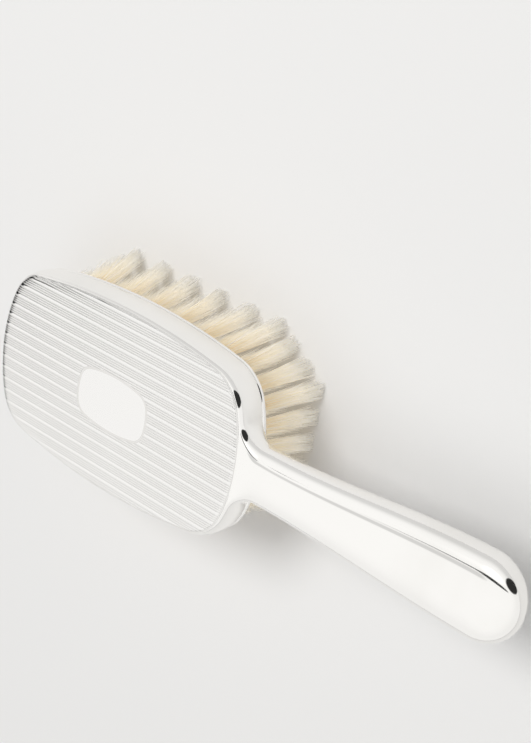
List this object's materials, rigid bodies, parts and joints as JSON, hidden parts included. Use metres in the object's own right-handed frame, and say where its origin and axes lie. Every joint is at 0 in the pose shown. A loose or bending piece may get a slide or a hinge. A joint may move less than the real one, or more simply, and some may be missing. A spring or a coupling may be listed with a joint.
{
  "type": "vanity hairbrush",
  "caption": "Paddle-handled vanity hairbrush with a pressed silver back, engine-turned panel and natural bristle tufts set in a wooden stock.",
  "frame": {"origin": "bottom centre of the brush's box: on the surface that the bristle tips rest on, halfway along the brush", "axes": "+X from the toe towards the end of the handle, +Y across the head, +Z out of the back of the head"},
  "size_m": [0.24, 0.0802, 0.043],
  "materials": {
    "silver": "polished",
    "stock_wood": "satin",
    "bristle": "satin",
    "anchor_wire": "satin",
    "cement": "matte",
    "resin": "gloss",
    "steel": "satin"
  },
  "bodies": {
    "root": {"head_shell": "silver", "front_rim": "silver", "handle_back_shell": "silver", "handle_front_shell": "silver", "head_cement": "cement", "handle_resin": "resin", "handle_rod": "steel", "bristle_stock": "stock_wood", "tuft_anchors": "anchor_wire", "bristle_row_01": "bristle", "bristle_row_02": "bristle", "bristle_row_03": "bristle", "bristle_row_04": "bristle", "bristle_row_05": "bristle", "bristle_row_06": "bristle", "bristle_row_07": "bristle", "bristle_row_08": "bristle", "bristle_row_09": "bristle", "bristle_row_10": "bristle", "bristle_row_11": "bristle", "bristle_row_12": "bristle", "bristle_row_13": "bristle", "bristle_row_14": "bristle", "bristle_row_15": "bristle", "bristle_row_16": "bristle", "bristle_row_17": "bristle"}
  },
  "joints": []
}
